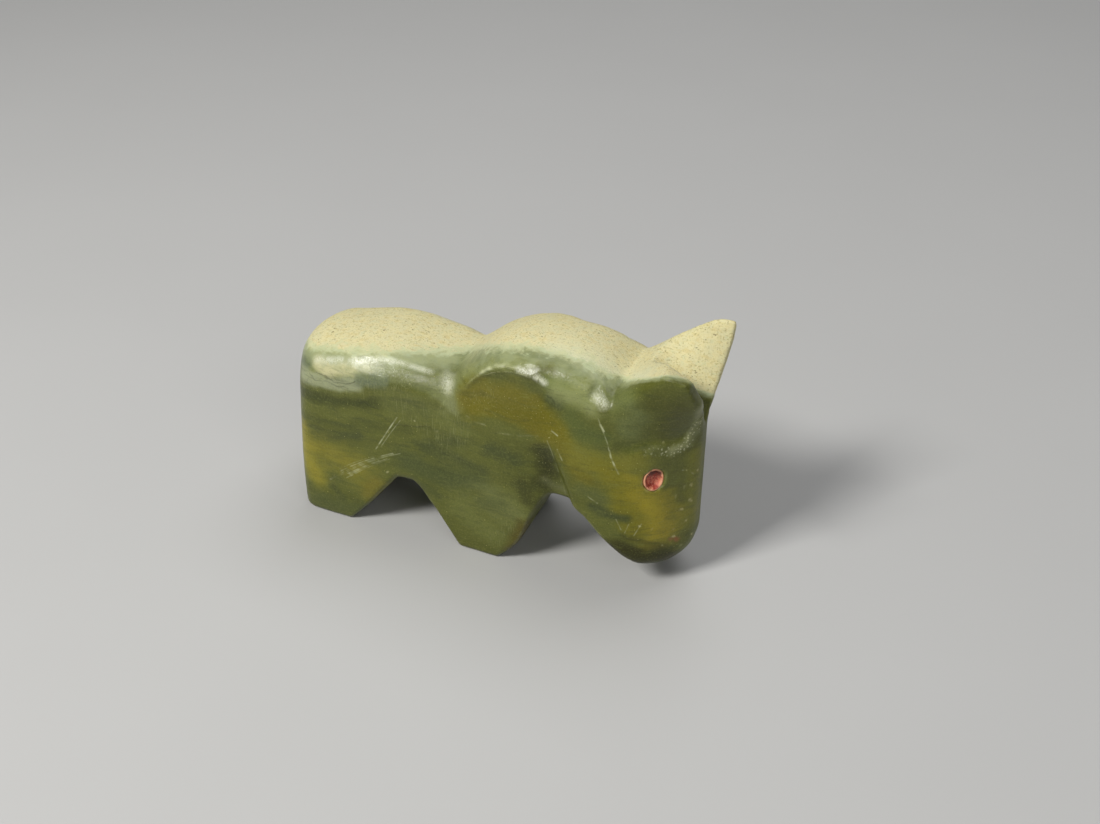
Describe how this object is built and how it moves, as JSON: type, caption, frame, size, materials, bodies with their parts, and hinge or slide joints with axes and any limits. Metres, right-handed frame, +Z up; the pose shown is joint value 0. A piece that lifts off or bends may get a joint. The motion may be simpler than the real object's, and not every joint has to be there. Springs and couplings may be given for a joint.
{
  "type": "stone animal fetish",
  "caption": "Small hand-ground stone animal with a lowered head, upright ears, blocky legs and inlaid round eyes, standing on its own feet.",
  "frame": {"origin": "middle of the footprint of the whole carving, on the surface that it stands on", "axes": "+X from the rump to the head, +Y to the animal's left, +Z up"},
  "size_m": [0.0506, 0.0148, 0.0316],
  "materials": {
    "stone_body": "satin hand polish, banded green with a cream top layer",
    "eye_inlay_right": "satin, coral red",
    "eye_inlay_left": "satin, coral red"
  },
  "bodies": {
    "root": {"stone_body": "stone_body", "eye_inlay_right": "eye_inlay_right", "eye_inlay_left": "eye_inlay_left"}
  },
  "joints": []
}
